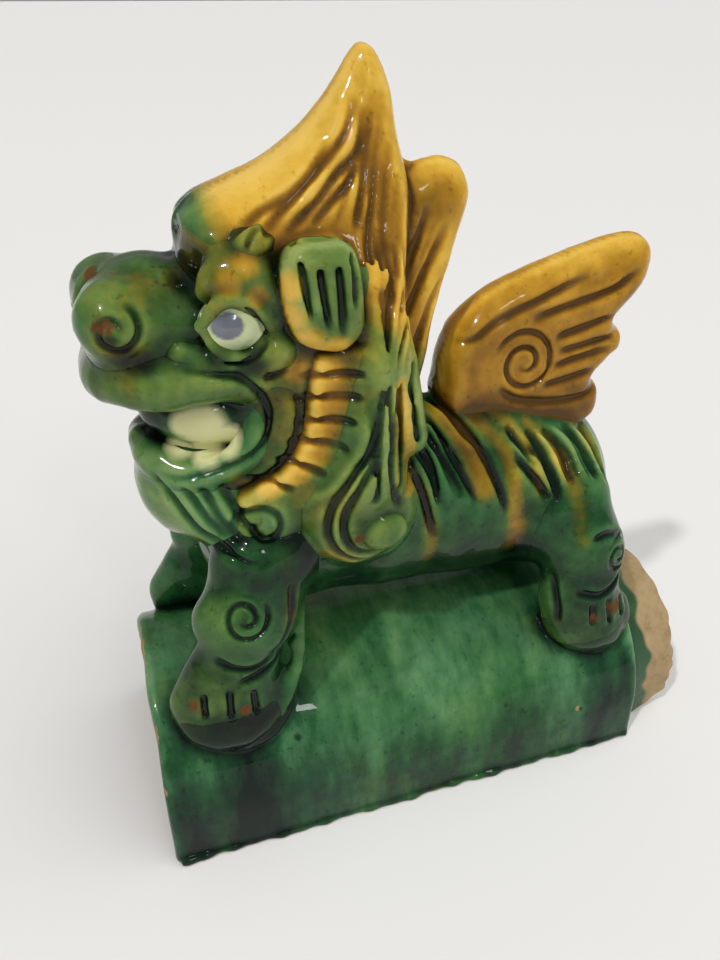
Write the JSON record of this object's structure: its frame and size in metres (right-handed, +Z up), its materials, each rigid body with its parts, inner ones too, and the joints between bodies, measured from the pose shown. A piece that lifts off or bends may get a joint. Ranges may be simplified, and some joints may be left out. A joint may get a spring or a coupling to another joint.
{
  "type": "foo dog ridge tile figure",
  "caption": "Glazed ceramic guardian beast standing astride a half-round roof ridge tile, with a flame crest and a wing-like tail plume.",
  "frame": {"origin": "on the ground, under the middle of the whole figure", "axes": "+Z up, -Y the way the beast faces, along the ridge; +X the beast's own left"},
  "size_m": [0.1132, 0.252, 0.2976],
  "materials": {
    "green_glaze": "thick glossy lead glaze, mottled, pooling dark in the grooves",
    "amber_glaze": "glossy amber glaze, brown in the grooves, with fine crazing",
    "cream_glaze": "glossy clear glaze over white slip",
    "bisque_clay": "unglazed fired clay, matt"
  },
  "bodies": {
    "root": {"beard": "green_glaze", "beard_curl_left": "green_glaze", "beard_curl_right": "green_glaze", "brow_bud_left": "green_glaze", "brow_bud_right": "green_glaze", "brow_left": "amber_glaze", "brow_right": "amber_glaze", "cheek_left": "green_glaze", "cheek_right": "green_glaze", "crest_front": "amber_glaze", "crest_rear": "amber_glaze", "ear_left": "green_glaze", "ear_right": "green_glaze", "eyeball_left": "cream_glaze", "eyeball_right": "cream_glaze", "fore_paw_left": "green_glaze", "fore_paw_right": "green_glaze", "foreleg_left": "green_glaze", "foreleg_right": "green_glaze", "hind_paw_left": "green_glaze", "hind_paw_right": "green_glaze", "hindleg_left": "green_glaze", "hindleg_right": "green_glaze", "jaw_frill_left": "amber_glaze", "jaw_frill_right": "amber_glaze", "jowl_left": "green_glaze", "jowl_right": "green_glaze", "lower_jaw": "green_glaze", "muzzle": "green_glaze", "neck": "green_glaze", "pearl_left": "green_glaze", "pearl_right": "green_glaze", "ridge_tile": "green_glaze", "skull": "green_glaze", "tail_plume": "amber_glaze", "teeth": "cream_glaze", "tile_tongue": "bisque_clay", "torso_left": "green_glaze", "torso_right": "green_glaze", "tress_left": "green_glaze", "tress_right": "green_glaze", "upper_lip": "green_glaze"}
  },
  "joints": []
}
